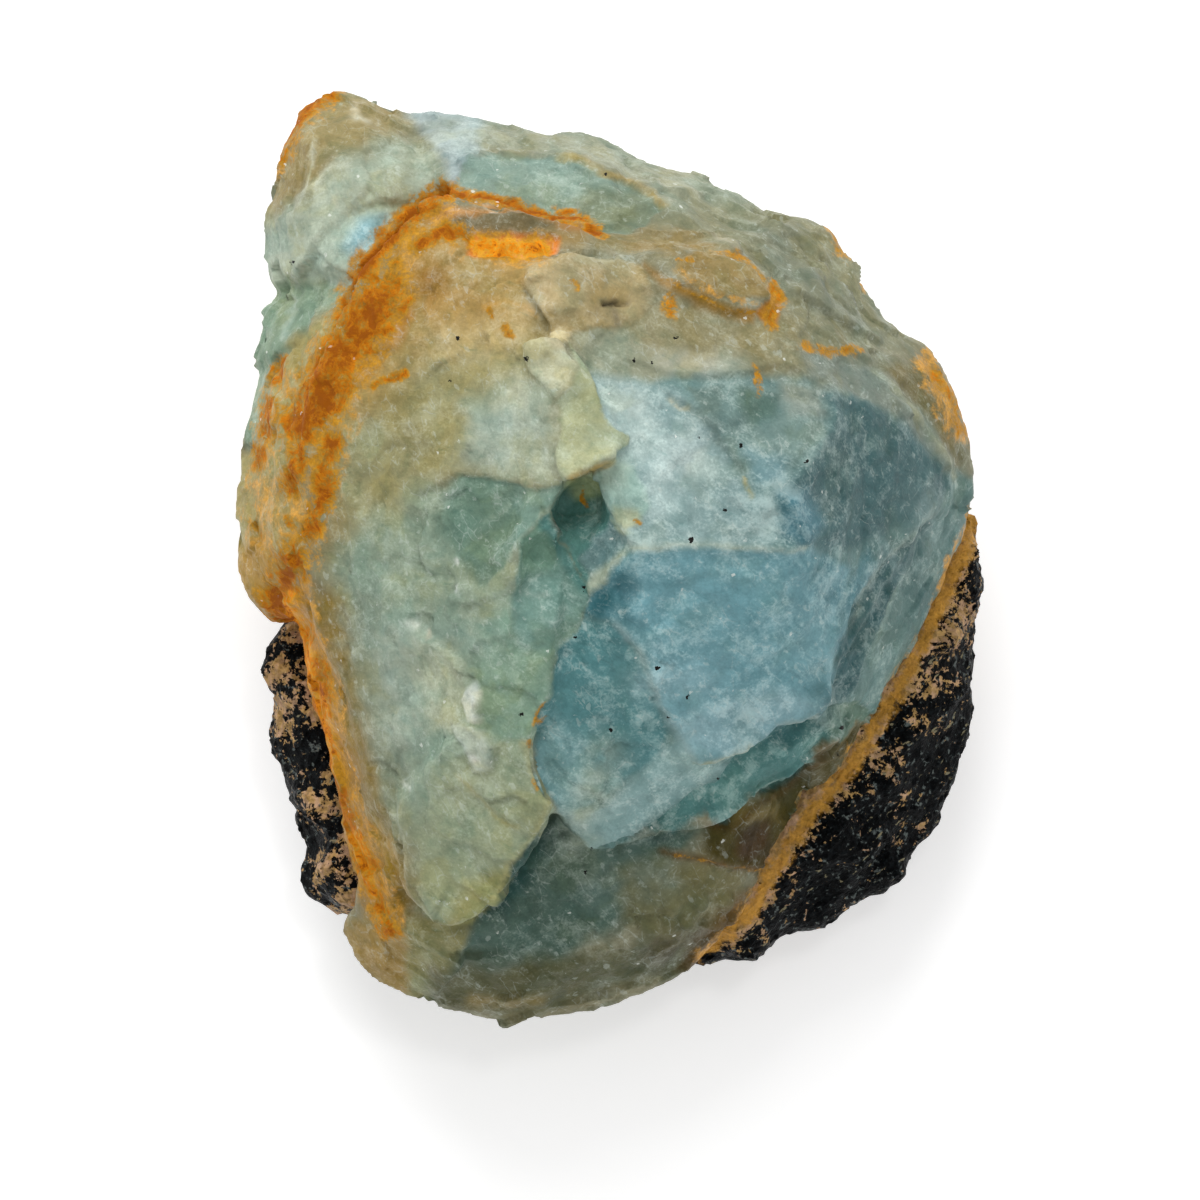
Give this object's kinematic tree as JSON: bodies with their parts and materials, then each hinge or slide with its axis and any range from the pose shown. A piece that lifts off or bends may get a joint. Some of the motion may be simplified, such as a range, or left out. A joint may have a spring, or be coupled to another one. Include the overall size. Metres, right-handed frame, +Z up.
{
  "type": "rough aquamarine with black tourmaline",
  "caption": "Rough blue-green aquamarine with fractured blocks and flakes, stained orange, grown on a granular bed of black tourmaline that it rests on.",
  "frame": {"origin": "centre of the bounding box, on the floor that the flat spot under the black bed rests on", "axes": "+Z up from the floor through the broken aquamarine face, +Y towards the square block at the far end, +X to the right"},
  "size_m": [0.0374, 0.0468, 0.0272],
  "materials": {
    "aquamarine": "fractured translucent crystal with a soft glassy sheen, milky veils and orange iron stain",
    "black_tourmaline": "granular black crystals with a dull glassy sheen and tan grains"
  },
  "bodies": {
    "root": {"aquamarine": "aquamarine", "black_tourmaline": "black_tourmaline"}
  },
  "joints": []
}
